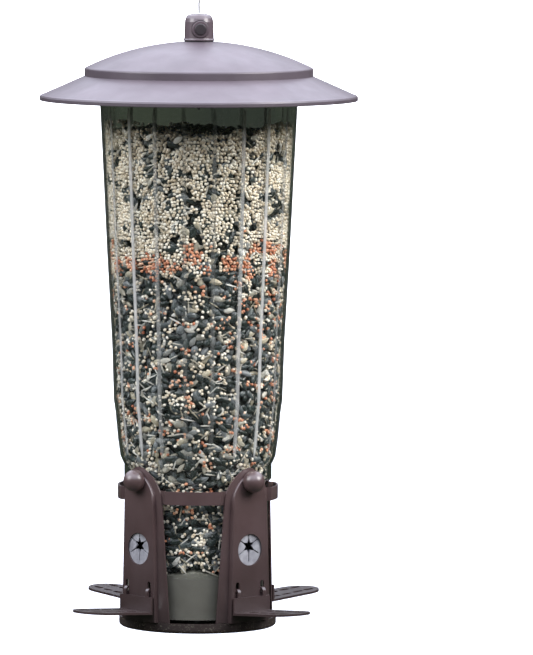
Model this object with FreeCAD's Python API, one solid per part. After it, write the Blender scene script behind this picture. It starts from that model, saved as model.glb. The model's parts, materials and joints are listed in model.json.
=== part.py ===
import FreeCAD, Part
import math
import os

# Hanging tube feeder for small birds. Millimetres. The origin is the centre of the
# tray's underside, +Z is up, and the four pillars stand on the -Y, +X, +Y and -X sides.
# Each pillar is drawn standing on +X and turned into its place about Z.

Vec = FreeCAD.Vector
UP = Vec(0, 0, 1)
SIDES = {"front": -90, "right": 0, "rear": 90, "left": 180}

# clear reservoir: outer radius against height, top to bottom, and its wall
TUBE_OUTSIDE = [
    (69.4, 379.0), (69.4, 369.0), (68.9, 361.0), (64.1, 262.0), (60.6, 200.0),
    (59.3, 159.0), (57.8, 149.0), (56.2, 131.8), (54.6, 120.0), (52.9, 116.0),
    (51.8, 114.0), (51.8, 104.0), (49.6, 101.8), (49.6, 38.0),
]
TUBE_WALL = 2.0
TUBE_BOTTOM = 38.0
NECK_R = 49.6
FLUTES = 20
FLUTE_TURN = 4.0
FLUTE_WIDTH = 2.6
FLUTE_HEIGHT = 0.7
FLUTE_LOW = 124.0
FLUTE_HIGH = 364.0
BAR_SCREW_R = 1.5

# ports
PORT_Z = 60.0
PORT_R = 13.6
PORT_FACE = 54.0
PORT_SLEEVE_R = 11.5
PORT_BORE_R = 9.5
PETAL_THICK = 1.4
PETAL_SLIT = 0.8
PETAL_SLIT_END = 10.6
STAR_TIP = 6.4
STAR_NOTCH = 2.9

# shroud
SHEET = 1.0
PANEL_FACE = 55.3
FLANGE_R = 54.6
PILLAR_LOW = 7.2
SPRING_LINE = 90.0
ARCH_OFFSET = 7.0
ARCH_TOP_CENTRE = 105.16
FLANGE_HALF = 19.7
FLANGE_HALF_LOW = 24.9
PANEL_INSET = 4.3
HOLE_R = 11.0
HOLE_Z = 57.8
SLOT_T = 11.5
SLOT_WIDTH = 3.4
SLOT_LOW = 27.4
SLOT_HIGH = 35.7
BALL_STUD_R = 1.9
BAND_R = 56.4
BAND_LOW = 90.3
BAND_HIGH = 99.5
BAND_SHEET = 1.3
BAND_TAB_R = 53.6
BAND_RIVET_R = 1.2
BAND_RIVET_Z = 94.9
BAND_RIVET_TURN = 18
BALL_R = 7.75
BALL_X = 59.0
BALL_Z = 105.8

# base tray
TRAY_R = 55.3
TRAY_HIGH = 7.0
TRAY_FLOOR = 1.4
TRAY_INSIDE = 53.9
FOOT_X = 50.6
FOOT_HALF = 12.0
FOOT_RIVET_R = 1.5
FOOT_RIVET_X = 45.0
FOOT_RIVET_T = 6.0
BASE_SCREW_R = 1.5

# baffle and spring
SKIRT_R = 49.6
SKIRT_LOW = 9.0
SKIRT_WALL = 2.0
ROOF_TOP = 52.5
ROOF_SLOPE = 0.3
TOWER_TOP = 87.6
FLOOR_LOW = 11.0
FLOOR_HIGH = 13.0
FLOOR_SCREW_R = 1.3
FLOOR_SCREW_X = 36.0
ROD_R = 3.0
ROD_TOP = 76.0
WASHER_LOW = 70.0
WASHER_HIGH = 71.2
SPRING_MEAN_R = 7.2
SPRING_WIRE_R = 0.8
SPRING_TURNS = 8

# perches
HINGE_X = 54.6
HINGE_Z = 27.8
HOOK_IN = 1.8
HOOK_OUT = 3.2
HOOK_WIDTH = 2.6
HOOK_SWEEP = 195
PLATE_HALF = 16.7
PLATE_LOW = 13.0
PLATE_HIGH = 25.0
PLATFORM_TIP = 110.0
PLATFORM_TILT = 4.0
PLATFORM_THICK = 1.6

# cap
CAP_R = 111.5
LIP_LOW = 369.6
LIP_HIGH = 373.6
CAP_SHEET = 1.0
DOME_R = 80.1
DOME_LOW = 386.5
DOME_SHOULDER = 392.1
DOME_TOP = 410.9
CAP_RIVETS = 6
CAP_RIVET_R = 1.2
CAP_RIVET_Z = 389.0
KNOB_LOW = 410.4
KNOB_TOP = 429.9
BUTTON_Z = 419.5
BUTTON_TURN = -35.3
BUTTON_R = 4.1
BEZEL_R = 5.85
BUTTON_PRESS = 3.0
BUTTON_FACE = 11.6
BUTTON_BACK = -2.0
BUTTON_BLIND = -7.6
BUTTON_WIRE_R = 0.3
BEZEL_BACK = 6.4
BEZEL_FACE = 10.6
BEZEL_GROOVE = 0.5
KNOB_SPIGOT_R = 4.9

# hanging cable
CABLE_R = 0.75
BAR_LOW = 371.0
BAR_HIGH = 373.5
BAR_SCREW_Z = 375.6
CABLE_LOW = 363.0
CABLE_HIGH = 484.0
FERRULE_HIGH = 492.0
LOOP_HIGH = 512.0
GROMMET_R = 2.9
GROMMET_LOW = 424.7
FIT = 0.08


def save(node, shape):
    """Writes one piece after checking that it is sound."""
    if shape.Volume <= 0 or not shape.isValid():
        raise ValueError(node + " is not a sound solid")
    shape.exportStep("parts/" + node + ".step")
    solids = len(shape.Solids)
    print(f"{node}: {shape.Volume / 1000:.2f} cm3, {solids} solid(s)")


def turned(shape, angle):
    copy = shape.copy()
    copy.rotate(Vec(0, 0, 0), UP, angle)
    return copy


def revolved(points):
    """Spins a closed outline of (radius, height) points about Z."""
    corners = [Vec(r, 0, z) for r, z in points]
    face = Part.Face(Part.makePolygon(corners + corners[:1]))
    return face.revolve(Vec(0, 0, 0), UP, 360)


def rod(radius, low, high, x=0.0, y=0.0):
    return Part.makeCylinder(radius, high - low, Vec(x, y, low))


def rod_x(radius, x0, x1, y, z):
    return Part.makeCylinder(radius, x1 - x0, Vec(x0, y, z), Vec(1, 0, 0))


def box(x0, x1, y0, y1, z0, z1):
    return Part.makeBox(x1 - x0, y1 - y0, z1 - z0, Vec(x0, y0, z0))


def ring(outer, inner, low, high):
    return rod(outer, low, high).cut(rod(inner, low - 1, high + 1))


def joined(shapes):
    first, rest = shapes[0], shapes[1:]
    return first.fuse(rest).removeSplitter()


def group(shapes):
    return Part.makeCompound(shapes)


# ---------------------------------------------------------------- reservoir

def tube_radius(z):
    """The tube's plain outer radius at a height."""
    for (r1, z1), (r0, z0) in zip(TUBE_OUTSIDE, TUBE_OUTSIDE[1:]):
        if z0 <= z <= z1:
            return r0 + (r1 - r0) * (z - z0) / (z1 - z0)
    return TUBE_OUTSIDE[0][0]


def flute():
    """One raised rib that follows the tube's taper on its +X side."""
    between = [z for r, z in TUBE_OUTSIDE if FLUTE_LOW < z < FLUTE_HIGH]
    heights = [FLUTE_HIGH] + between + [FLUTE_LOW]
    front = [Vec(tube_radius(z) + FLUTE_HEIGHT, 0, z) for z in heights[1:-1]]
    back = [Vec(tube_radius(z) - 1.0, 0, z) for z in heights]
    face = Part.Face(Part.makePolygon(front + back[::-1] + front[:1]))
    rib = face.extrude(Vec(0, FLUTE_WIDTH, 0))
    rib.translate(Vec(0, -FLUTE_WIDTH / 2, 0))
    return rib


def reservoir_tube():
    inside = [(r - TUBE_WALL, z) for r, z in TUBE_OUTSIDE]
    shell = revolved(TUBE_OUTSIDE + inside[::-1])
    ribs = [turned(flute(), FLUTE_TURN + 360 / FLUTES * k) for k in range(FLUTES)]
    tube = shell.fuse(ribs)
    for angle in SIDES.values():
        tube = tube.cut(turned(rod_x(PORT_SLEEVE_R, 40, 60, 0, PORT_Z), angle))
    return tube.cut(rod_x(BAR_SCREW_R, -75, 75, 0, BAR_SCREW_Z))


def pyramid(top):
    """A shallow four-sided roof whose faces look at the four ports."""
    low = 20.0
    half = (top - low) / ROOF_SLOPE
    tip = 0.5
    wires = []
    for size, z in ((half, low), (tip, top - tip * ROOF_SLOPE)):
        corners = []
        for x, y in ((1, 1), (-1, 1), (-1, -1), (1, -1)):
            corners.append(Vec(x * size, y * size, z))
        wires.append(Part.makePolygon(corners + corners[:1]))
    return Part.makeLoft(wires, True, True)


def tower_outline(grow):
    """The spring tower's outside, from its foot on the floor to its rounded top."""
    return [
        (0, FLOOR_HIGH), (19, FLOOR_HIGH), (19, FLOOR_HIGH + 2), (17 + grow, FLOOR_HIGH + 2),
        (15.6 + grow, 42), (11.8 + grow, TOWER_TOP - 7.6), (10.6 + grow, TOWER_TOP - 3.6),
        (7.5 + grow, TOWER_TOP - 1), (0, TOWER_TOP + grow),
    ]


def seed_baffle():
    """Skirt and a roof that sheds seed to the ports, open in the middle for the tower."""
    neck = SKIRT_R - SKIRT_WALL
    body = rod(SKIRT_R, SKIRT_LOW, TUBE_BOTTOM)
    body = body.fuse(rod(neck, TUBE_BOTTOM - 1, ROOF_TOP).common(pyramid(ROOF_TOP)))
    hollow = rod(neck - SKIRT_WALL, SKIRT_LOW - 1, ROOF_TOP).common(pyramid(ROOF_TOP - SKIRT_WALL))
    hollow = hollow.fuse(rod(SKIRT_R - SKIRT_WALL, SKIRT_LOW - 1, 34.0))
    body = body.cut(hollow)
    boss_r = FLOOR_SCREW_R + 1.9
    for k in range(4):
        boss = turned(rod(boss_r, FLOOR_HIGH, ROOF_TOP, FLOOR_SCREW_X), 45 + 90 * k)
        body = body.fuse(boss.common(pyramid(ROOF_TOP - SKIRT_WALL / 2)))
        pilot = rod(FLOOR_SCREW_R, FLOOR_HIGH - 1, FLOOR_HIGH + 11, FLOOR_SCREW_X)
        body = body.cut(turned(pilot, 45 + 90 * k))
    return body.cut(revolved(tower_outline(FIT))).removeSplitter()


def spring_tower():
    """A hollow post over the spring; it stands on the floor and the roof holds it down."""
    bore = [
        (0, FLOOR_HIGH - 1), (15, FLOOR_HIGH - 1), (14, 42), (10.4, TOWER_TOP - 8.6),
        (9.4, TOWER_TOP - 5), (6.5, TOWER_TOP - 2.8), (0, TOWER_TOP - 2),
    ]
    return revolved(tower_outline(0)).cut(revolved(bore))


def reservoir_floor():
    plate = rod(SKIRT_R - SKIRT_WALL, FLOOR_LOW, FLOOR_HIGH)
    plate = plate.cut(rod(ROD_R + FIT, 0, 30))
    for k in range(4):
        plate = plate.cut(turned(rod(FLOOR_SCREW_R, 0, 30, FLOOR_SCREW_X), 45 + 90 * k))
        plate = plate.cut(turned(rod(4, 0, 30, 26), 90 * k))
    return plate


def pan_screw(radius, head_r, head, length):
    """A screw pointing up, its head's underside at z = 0."""
    shank = rod(radius, -0.1, length)
    dome = rod(head_r, -head, 0)
    dome = dome.makeFillet(head * 0.5, [dome.Edges[2]])
    drive = rod(head_r * 0.35, -head - 1, -head * 0.45)
    return dome.fuse(shank).cut(drive)


def floor_screws():
    screws = []
    for k in range(4):
        screw = pan_screw(FLOOR_SCREW_R, 2.8, 1.4, 11.0)
        screw.translate(Vec(FLOOR_SCREW_X, 0, FLOOR_LOW))
        screws.append(turned(screw, 45 + 90 * k))
    return group(screws)


def port_housing():
    """A boss saddled on the tube, with a sleeve through its wall."""
    back = PORT_FACE - PETAL_THICK
    boss = rod_x(PORT_R, 40, back, 0, PORT_Z).cut(rod(NECK_R, 0, 120))
    sleeve = rod_x(PORT_SLEEVE_R, 44.5, back, 0, PORT_Z)
    return boss.fuse(sleeve).cut(rod_x(PORT_BORE_R, 30, 60, 0, PORT_Z)).removeSplitter()


def flex_port():
    """A rubber disc cut into six petals round a star."""
    back = PORT_FACE - PETAL_THICK
    disc = rod_x(PORT_R, back, PORT_FACE, 0, PORT_Z)
    corners = []
    for k in range(12):
        reach = STAR_NOTCH if k % 2 else STAR_TIP
        angle = math.radians(30 + 30 * k)
        corners.append(Vec(back - 1, reach * math.cos(angle), PORT_Z + reach * math.sin(angle)))
    star = Part.Face(Part.makePolygon(corners + corners[:1])).extrude(Vec(PETAL_THICK + 2, 0, 0))
    disc = disc.cut(star)
    half = PETAL_SLIT / 2
    for k in range(6):
        slit = box(back - 1, PORT_FACE + 1, 1.0, PETAL_SLIT_END, PORT_Z - half, PORT_Z + half)
        slit.rotate(Vec(0, 0, PORT_Z), Vec(1, 0, 0), 30 + 60 * k)
        disc = disc.cut(slit)
    return disc


def coil(mean, wire, height, turns):
    """A spring about Z, its wire bent in short straight steps."""
    steps = 16
    points = []
    for k in range(steps * turns + 1):
        a = 2 * math.pi * k / steps
        points.append(Vec(mean * math.cos(a), mean * math.sin(a), height * k / (steps * turns)))
    section = Part.Wire(Part.makeCircle(wire, points[0], points[1] - points[0]))
    mitred = 1
    return Part.makePolygon(points).makePipeShell([section], True, False, mitred)


def main_spring():
    """An open coil standing on the reservoir floor, under the rod's washer."""
    low = FLOOR_HIGH + SPRING_WIRE_R + 0.05
    high = WASHER_LOW - SPRING_WIRE_R - 0.05
    spring = coil(SPRING_MEAN_R, SPRING_WIRE_R, high - low, SPRING_TURNS)
    spring.translate(Vec(0, 0, low))
    return spring


def hanger_bar():
    """A strap across the tube's mouth, its ends turned up and screwed to the wall."""
    inner = TUBE_OUTSIDE[0][0] - TUBE_WALL
    strap = box(-inner, inner, -6, 6, BAR_LOW, BAR_HIGH)
    for x0 in (-inner, inner - 2.4):
        strap = strap.fuse(box(x0, x0 + 2.4, -6, 6, BAR_LOW, TUBE_OUTSIDE[0][1] - 0.6))
    strap = strap.common(rod(inner, 360, 380))
    strap = strap.cut(rod(CABLE_R + 0.1, 360, 380))
    return strap.cut(rod_x(BAR_SCREW_R, -75, 75, 0, BAR_SCREW_Z)).removeSplitter()


def bar_screws():
    screws = []
    for angle in (0, 180):
        screw = pan_screw(BAR_SCREW_R, 2.6, 1.2, 6.5)
        screw.rotate(Vec(0, 0, 0), Vec(0, 1, 0), -90)
        screw.translate(Vec(TUBE_OUTSIDE[0][0] + 0.02, 0, BAR_SCREW_Z))
        screws.append(turned(screw, angle))
    return group(screws)


def cable_stop():
    low = CABLE_LOW + 2
    outline = [(0, low), (2.4, low), (3.2, low + 1), (3.2, BAR_LOW - 1), (2.6, BAR_LOW), (0, BAR_LOW)]
    return revolved(outline).cut(rod(CABLE_R, CABLE_LOW, BAR_LOW + 1))


def hanger_cable():
    return rod(CABLE_R, CABLE_LOW, CABLE_HIGH)


def cable_ferrule():
    return revolved([
        (0, CABLE_HIGH), (1.8, CABLE_HIGH), (2.3, CABLE_HIGH + 0.8), (2.3, FERRULE_HIGH - 0.8),
        (1.8, FERRULE_HIGH), (0, FERRULE_HIGH),
    ])


def cable_loop():
    """The cable bent back on itself into an eye above the ferrule."""
    eye = 6.0
    centre = LOOP_HIGH - CABLE_R - eye
    start = FERRULE_HIGH
    touch = math.acos(eye / (centre - start)) - math.pi / 2
    right = Vec(eye * math.cos(touch), 0, centre + eye * math.sin(touch))
    left = Vec(-right.x, 0, right.z)
    foot = Vec(0, 0, start)
    arc = Part.Arc(right, Vec(0, 0, centre + eye), left).toShape()
    shapes = []
    for end in (right, left):
        run = end - foot
        shapes.append(Part.makeCylinder(CABLE_R, run.Length, foot, run))
    tangent = Vec(-math.sin(touch), 0, math.cos(touch))
    ring_section = Part.Wire(Part.makeCircle(CABLE_R, right, tangent))
    shapes.append(Part.Wire(arc).makePipeShell([ring_section], True, True))
    eyelet = joined(shapes)
    return eyelet.cut(rod(20, start - 10, start))


# ---------------------------------------------------------------- shroud

def arch_wire(inset, x, low):
    """A pointed arch with a small round crown and slightly splayed legs, at one x."""
    radius = FLANGE_HALF + ARCH_OFFSET - inset
    rise = ARCH_TOP_CENTRE - SPRING_LINE
    reach = math.hypot(ARCH_OFFSET, rise)
    crown = radius - reach
    half = FLANGE_HALF - inset
    splay = (FLANGE_HALF_LOW - FLANGE_HALF) / (SPRING_LINE - PILLAR_LOW)
    if inset:
        splay *= 0.4
    half_low = half + splay * (SPRING_LINE - low)

    def point(t, z):
        return Vec(x, t, z)

    touch_t = crown * ARCH_OFFSET / reach
    touch_z = ARCH_TOP_CENTRE + crown * rise / reach
    middle = math.atan2(rise, ARCH_OFFSET) / 2
    mid_t = -ARCH_OFFSET + radius * math.cos(middle)
    mid_z = SPRING_LINE + radius * math.sin(middle)
    edges = [
        Part.makeLine(point(-half_low, low), point(half_low, low)),
        Part.makeLine(point(half_low, low), point(half, SPRING_LINE)),
        Part.Arc(point(half, SPRING_LINE), point(mid_t, mid_z), point(touch_t, touch_z)).toShape(),
        Part.Arc(point(touch_t, touch_z), point(0, ARCH_TOP_CENTRE + crown),
                 point(-touch_t, touch_z)).toShape(),
        Part.Arc(point(-touch_t, touch_z), point(-mid_t, mid_z), point(-half, SPRING_LINE)).toShape(),
        Part.makeLine(point(-half, SPRING_LINE), point(-half_low, low)),
    ]
    return Part.Wire(edges)


def arch_prism(inset, x0, x1, low):
    return Part.Face(arch_wire(inset, x0, low)).extrude(Vec(x1 - x0, 0, 0))


def radial_hole(radius, angle, z):
    return turned(rod_x(radius, 48, 60, 0, z), angle)


def pillar():
    """One pressed pillar: curved flange, raised flat panel, port hole, hook slots and foot."""
    flange = ring(FLANGE_R, FLANGE_R - SHEET, PILLAR_LOW, 120)
    flange = flange.common(arch_prism(0, 30, 70, PILLAR_LOW))
    panel = arch_prism(PANEL_INSET, 47, PANEL_FACE, PILLAR_LOW)
    rim = []
    for edge in panel.Edges:
        reach = edge.BoundBox
        if reach.XMin > PANEL_FACE - 0.01 and reach.ZMax > PILLAR_LOW + 1:
            rim.append(edge)
    panel = panel.makeFillet(0.8, rim)
    panel = panel.cut(rod(FLANGE_R - SHEET, 0, 130))
    pocket = arch_prism(PANEL_INSET + SHEET, 40, PANEL_FACE - SHEET, PILLAR_LOW - 1)
    shell = flange.fuse(panel).cut(pocket)
    ledge = box(FOOT_X, PANEL_FACE, -FOOT_HALF, FOOT_HALF, PILLAR_LOW, PILLAR_LOW + SHEET)
    riser = box(FOOT_X, FOOT_X + SHEET, -FOOT_HALF, FOOT_HALF, TRAY_FLOOR, PILLAR_LOW + SHEET)
    tab = box(40, FOOT_X + SHEET, -FOOT_HALF, FOOT_HALF, TRAY_FLOOR, TRAY_FLOOR + SHEET)
    for t in (-FOOT_RIVET_T, FOOT_RIVET_T):
        tab = tab.cut(rod(FOOT_RIVET_R, 0, 10, FOOT_RIVET_X, t))
    shell = shell.fuse([ledge, riser, tab])
    shell = shell.cut(rod_x(HOLE_R, 50, 60, 0, HOLE_Z))
    shell = shell.cut(rod_x(BALL_STUD_R, 50, 60, 0, BALL_Z))
    for side in (-1, 1):
        t = side * SLOT_T
        half = SLOT_WIDTH / 2
        slot = box(53, 60, t - half, t + half, SLOT_LOW, SLOT_HIGH - half)
        slot = slot.fuse(rod_x(half, 53, 60, t, SLOT_HIGH - half))
        shell = shell.cut(slot)
        shell = shell.cut(radial_hole(BAND_RIVET_R, side * BAND_RIVET_TURN, BAND_RIVET_Z))
    return shell.removeSplitter()


def sector(shape, start, end):
    """Keeps what lies between two angles about Z, at most a quarter turn apart."""
    far = 90.0
    corners = [Vec(0, 0, 0)]
    for angle in (start, (start + end) / 2, end):
        a = math.radians(angle)
        corners.append(Vec(far * math.cos(a), far * math.sin(a), 0))
    wedge = Part.Face(Part.makePolygon(corners + corners[:1])).extrude(Vec(0, 0, 150))
    return shape.common(wedge)


def band_span():
    """The band across one window, its ends stepped in behind the two pillars' flanges."""
    outer, inner = BAND_R, BAND_R - BAND_SHEET
    tab_outer, tab_inner = BAND_TAB_R, BAND_TAB_R - BAND_SHEET
    pieces = [sector(ring(outer, inner, BAND_LOW, BAND_HIGH), 24.5, 65.5)]
    for start, end in ((15.8, 22.8), (67.2, 74.2)):
        pieces.append(sector(ring(tab_outer, tab_inner, BAND_LOW, BAND_HIGH), start, end))
    for tab_end, main_end in ((22.8, 24.5), (67.2, 65.5)):
        corners = []
        for radius, angle in ((tab_inner, tab_end), (tab_outer, tab_end),
                              (outer, main_end), (inner, main_end)):
            a = math.radians(angle)
            corners.append(Vec(radius * math.cos(a), radius * math.sin(a), BAND_LOW))
        foot = Part.Face(Part.makePolygon(corners + corners[:1]))
        pieces.append(foot.extrude(Vec(0, 0, BAND_HIGH - BAND_LOW)))
    span = pieces[0].fuse(pieces[1:])
    for angle in (BAND_RIVET_TURN, 90 - BAND_RIVET_TURN):
        span = span.cut(radial_hole(BAND_RIVET_R, angle, BAND_RIVET_Z))
    return span.removeSplitter()


def band_rivets():
    rivets = []
    tab_inner = BAND_TAB_R - BAND_SHEET
    for base in SIDES.values():
        for side in (-BAND_RIVET_TURN, BAND_RIVET_TURN):
            rivet = rod_x(BAND_RIVET_R, tab_inner - 0.2, FLANGE_R - 0.1, 0, BAND_RIVET_Z)
            rivet = rivet.fuse(rod_x(2.1, tab_inner - 0.8, tab_inner - 0.05, 0, BAND_RIVET_Z))
            rivets.append(turned(rivet, base + side))
    return group(rivets)


def base_tray():
    """A shallow dish with a rounded lower edge and drain holes."""
    round_r = 2.4
    tray = rod(TRAY_R, 0, TRAY_HIGH)
    lower = [e for e in tray.Edges if e.BoundBox.ZMax < 0.01 and e.Length > 1]
    tray = tray.makeFillet(round_r, lower)
    tray = tray.cut(rod(TRAY_INSIDE, TRAY_FLOOR, TRAY_HIGH + 1))
    tray = tray.cut(rod(BASE_SCREW_R, -1, 3))
    tray = tray.cut(revolved([(0, -0.01), (3.0, -0.01), (BASE_SCREW_R, 1.3), (0, 1.3)]))
    for k in range(4):
        for t in (-FOOT_RIVET_T, FOOT_RIVET_T):
            tray = tray.cut(turned(rod(FOOT_RIVET_R, -1, 3, FOOT_RIVET_X, t), 90 * k))
        tray = tray.cut(turned(rod(2.5, -1, 3, 30), 45 + 90 * k))
        tray = tray.cut(turned(rod(2.5, -1, 3, 20), 90 * k))
    return tray


def foot_rivets():
    rivets = []
    top = TRAY_FLOOR + SHEET
    for k in range(4):
        for t in (-FOOT_RIVET_T, FOOT_RIVET_T):
            shank = rod(FOOT_RIVET_R, 0.1, top + 0.1, FOOT_RIVET_X, t)
            head = rod(FOOT_RIVET_R + 1.1, top, top + 1.0, FOOT_RIVET_X, t)
            rivets.append(turned(shank.fuse(head), 90 * k))
    return group(rivets)


def ball_knob():
    ball = Part.makeSphere(BALL_R, Vec(BALL_X, 0, BALL_Z))
    ball = ball.cut(box(40, PANEL_FACE, -20, 20, 80, 130))
    stud = rod_x(BALL_STUD_R, PANEL_FACE - SHEET - 0.5, PANEL_FACE + 1, 0, BALL_Z)
    head = rod_x(BALL_STUD_R + 1, PANEL_FACE - SHEET - 0.8, PANEL_FACE - SHEET, 0, BALL_Z)
    return ball.fuse([stud, head]).removeSplitter()


def neck_glide():
    """A nylon pad behind the pillar that runs on the tube's neck."""
    pad = box(46, PANEL_FACE - SHEET, -10.5, 10.5, 96.5, 101)
    return pad.cut(rod(NECK_R + 0.3, 90, 110))


def spring_rod():
    foot = TRAY_FLOOR
    outline = [
        (0, foot), (9, foot), (9, foot + 2), (6, foot + 2), (6, FLOOR_LOW - 0.3),
        (ROD_R, FLOOR_LOW - 0.3), (ROD_R, ROD_TOP - 0.6), (ROD_R - 0.6, ROD_TOP), (0, ROD_TOP),
    ]
    return revolved(outline).cut(rod(BASE_SCREW_R, 0, foot + 7))


def base_screw():
    top = TRAY_FLOOR + 6.8
    return revolved([(0, 0.1), (2.8, 0.1), (BASE_SCREW_R, 1.25), (BASE_SCREW_R, top), (0, top)])


def spring_washer():
    return ring(9.0, ROD_R, WASHER_LOW, WASHER_HIGH)


def hex_nut(corner_r, bore_r, low, high):
    corners = []
    for k in range(6):
        a = math.radians(60 * k)
        corners.append(Vec(corner_r * math.cos(a), corner_r * math.sin(a), low))
    nut = Part.Face(Part.makePolygon(corners + corners[:1])).extrude(Vec(0, 0, high - low))
    return nut.cut(rod(bore_r, low - 1, high + 1))


def rod_nut():
    return hex_nut(5.2, ROD_R, WASHER_HIGH, WASHER_HIGH + 3.6)


# ---------------------------------------------------------------- perches

def hook(t):
    """A strip that rises from the plate, turns over the slot's sill and goes down behind it."""
    half = HOOK_WIDTH / 2
    centre = Vec(HINGE_X, t - half, HINGE_Z)
    curl = Part.makeCylinder(HOOK_OUT, HOOK_WIDTH, centre, Vec(0, 1, 0))
    curl = curl.cut(Part.makeCylinder(HOOK_IN, HOOK_WIDTH, centre, Vec(0, 1, 0)))
    end = math.radians(HOOK_SWEEP)
    corners = []
    for angle in (end, math.radians(240), math.radians(300), math.radians(360)):
        corners.append(Vec(HINGE_X + 8 * math.cos(angle), t - 5, HINGE_Z + 8 * math.sin(angle)))
    corners.append(Vec(HINGE_X, t - 5, HINGE_Z))
    gap = Part.Face(Part.makePolygon(corners + corners[:1])).extrude(Vec(0, 10, 0))
    root = HINGE_X + HOOK_IN
    leg = box(root, HINGE_X + HOOK_OUT, t - half, t + half, PLATE_HIGH - 1, HINGE_Z)
    return curl.cut(gap).fuse(leg)


def platform():
    """The landing platform: round-ended, two rows of long holes and a downturned rim."""
    root = HINGE_X + HOOK_IN
    straight = PLATFORM_TIP - PLATE_HALF
    top = PLATE_LOW + PLATFORM_THICK
    deck = box(root, straight, -PLATE_HALF, PLATE_HALF, PLATE_LOW, top)
    deck = deck.fuse(rod(PLATE_HALF, PLATE_LOW, top, straight))
    for side in (-1, 1):
        for k in range(4):
            x = root + 7 + 10.5 * k
            y = side * 7.2
            hole = box(x + 2, x + 6.5, y - 2, y + 2, 0, 30)
            hole = hole.fuse([rod(2, 0, 30, x + 2, y), rod(2, 0, 30, x + 6.5, y)])
            deck = deck.cut(hole)
    deck.rotate(Vec(root, 0, PLATE_LOW), Vec(0, 1, 0), -PLATFORM_TILT)
    return deck


def perch():
    root = HINGE_X + HOOK_IN
    plate = box(root, HINGE_X + HOOK_OUT, -PLATE_HALF, PLATE_HALF, PLATE_LOW, PLATE_HIGH)
    heel_half = PLATE_HALF - 3
    heel = box(PANEL_FACE + 0.35, root, -heel_half, heel_half, PLATE_LOW, PLATE_LOW + 1.4)
    pieces = [plate, heel, platform(), hook(-SLOT_T), hook(SLOT_T)]
    return pieces[0].fuse(pieces[1:]).removeSplitter()


# ---------------------------------------------------------------- cap

def drilled_for_rivets(shape):
    for k in range(CAP_RIVETS):
        hole = rod_x(CAP_RIVET_R, 70, 90, 0, CAP_RIVET_Z)
        shape = shape.cut(turned(hole, 360 / CAP_RIVETS * (k + 0.5)))
    return shape


def cap_brim():
    """The wide lower roof, with a rolled lip and a collar inside the dome."""
    collar = DOME_R - CAP_SHEET - 0.05
    outline = [
        (CAP_R - 0.2, LIP_LOW), (CAP_R, LIP_LOW + 0.4), (CAP_R, LIP_HIGH - 1.6),
        (CAP_R - 0.6, LIP_HIGH - 0.5), (CAP_R - 2.2, LIP_HIGH), (DOME_R, DOME_LOW),
        (collar, DOME_LOW), (collar, DOME_SHOULDER - 1.2),
        (collar - CAP_SHEET, DOME_SHOULDER - 1.2),
        (collar - CAP_SHEET, DOME_LOW - CAP_SHEET), (CAP_R - 2.6, LIP_HIGH - 1.1),
        (CAP_R - CAP_SHEET, LIP_HIGH - 1.9), (CAP_R - CAP_SHEET, LIP_LOW + 0.4),
        (CAP_R - CAP_SHEET + 0.2, LIP_LOW),
    ]
    return drilled_for_rivets(revolved(outline))


def dome_section(radius, top, shoulder, foot):
    """Half section of a solid domed drum, as a wire from the axis to the axis."""
    rise = top - shoulder
    sphere = (radius * radius + rise * rise) / (2 * rise)
    angle = math.asin(radius / sphere) / 2
    middle = Vec(sphere * math.sin(angle), 0, top - sphere + sphere * math.cos(angle))
    edges = [
        Part.Arc(Vec(0, 0, top), middle, Vec(radius, 0, shoulder)).toShape(),
        Part.makeLine(Vec(radius, 0, shoulder), Vec(radius, 0, foot)),
        Part.makeLine(Vec(radius, 0, foot), Vec(0, 0, foot)),
        Part.makeLine(Vec(0, 0, foot), Vec(0, 0, top)),
    ]
    return Part.Face(Part.Wire(edges)).revolve(Vec(0, 0, 0), UP, 360)


def cap_dome():
    outer = dome_section(DOME_R, DOME_TOP, DOME_SHOULDER, DOME_LOW)
    shoulder = []
    for edge in outer.Edges:
        reach = edge.BoundBox
        if abs(reach.ZMin - DOME_SHOULDER) < 0.01 and abs(reach.ZMax - DOME_SHOULDER) < 0.01:
            shoulder.append(edge)
    outer = outer.makeFillet(1.6, shoulder)
    inner = dome_section(DOME_R - CAP_SHEET, DOME_TOP - CAP_SHEET, DOME_SHOULDER - CAP_SHEET,
                         DOME_LOW - 1)
    return outer.cut(inner).cut(rod(KNOB_SPIGOT_R + 0.1, DOME_LOW, DOME_TOP + 10))


def cap_liner():
    """A dished plate under the cap whose skirt drops round the tube's rim."""
    top = TUBE_OUTSIDE[0][1] + 0.4
    skirt_low = LIP_LOW + 1.4
    outer = 72.9
    flange = DOME_R - 2 * CAP_SHEET - 0.05
    outline = [
        (4, top), (outer - 1.2, top), (outer - 1.2, skirt_low), (outer, skirt_low), (outer, top),
        (flange, 386.4), (flange, 390.4), (flange - 1.2, 390.4), (flange - 1.2, 386.9),
        (outer - 0.6, top + 1.2), (4, top + 1.2),
    ]
    return drilled_for_rivets(revolved(outline))


def cap_rivets():
    rivets = []
    inner = DOME_R - 2 * CAP_SHEET - 1.3
    for k in range(CAP_RIVETS):
        rivet = rod_x(CAP_RIVET_R, inner - 0.6, DOME_R - CAP_SHEET - 0.1, 0, CAP_RIVET_Z)
        rivet = rivet.fuse(rod_x(CAP_RIVET_R + 0.7, inner - 1.0, inner, 0, CAP_RIVET_Z))
        rivets.append(turned(rivet, 360 / CAP_RIVETS * (k + 0.5)))
    return group(rivets)


def across(radius, u0, u1):
    """A cylinder along the button's axis."""
    bar = rod_x(radius, u0, u1, 0, BUTTON_Z)
    return turned(bar, BUTTON_TURN)


def face_rim(shape, u):
    """The round edge of a cylinder's face, u along the button's axis."""
    a = math.radians(BUTTON_TURN)
    centre = Vec(u * math.cos(a), u * math.sin(a), BUTTON_Z)
    return [e for e in shape.Edges if e.CenterOfMass.distanceToPoint(centre) < 0.01]


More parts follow.
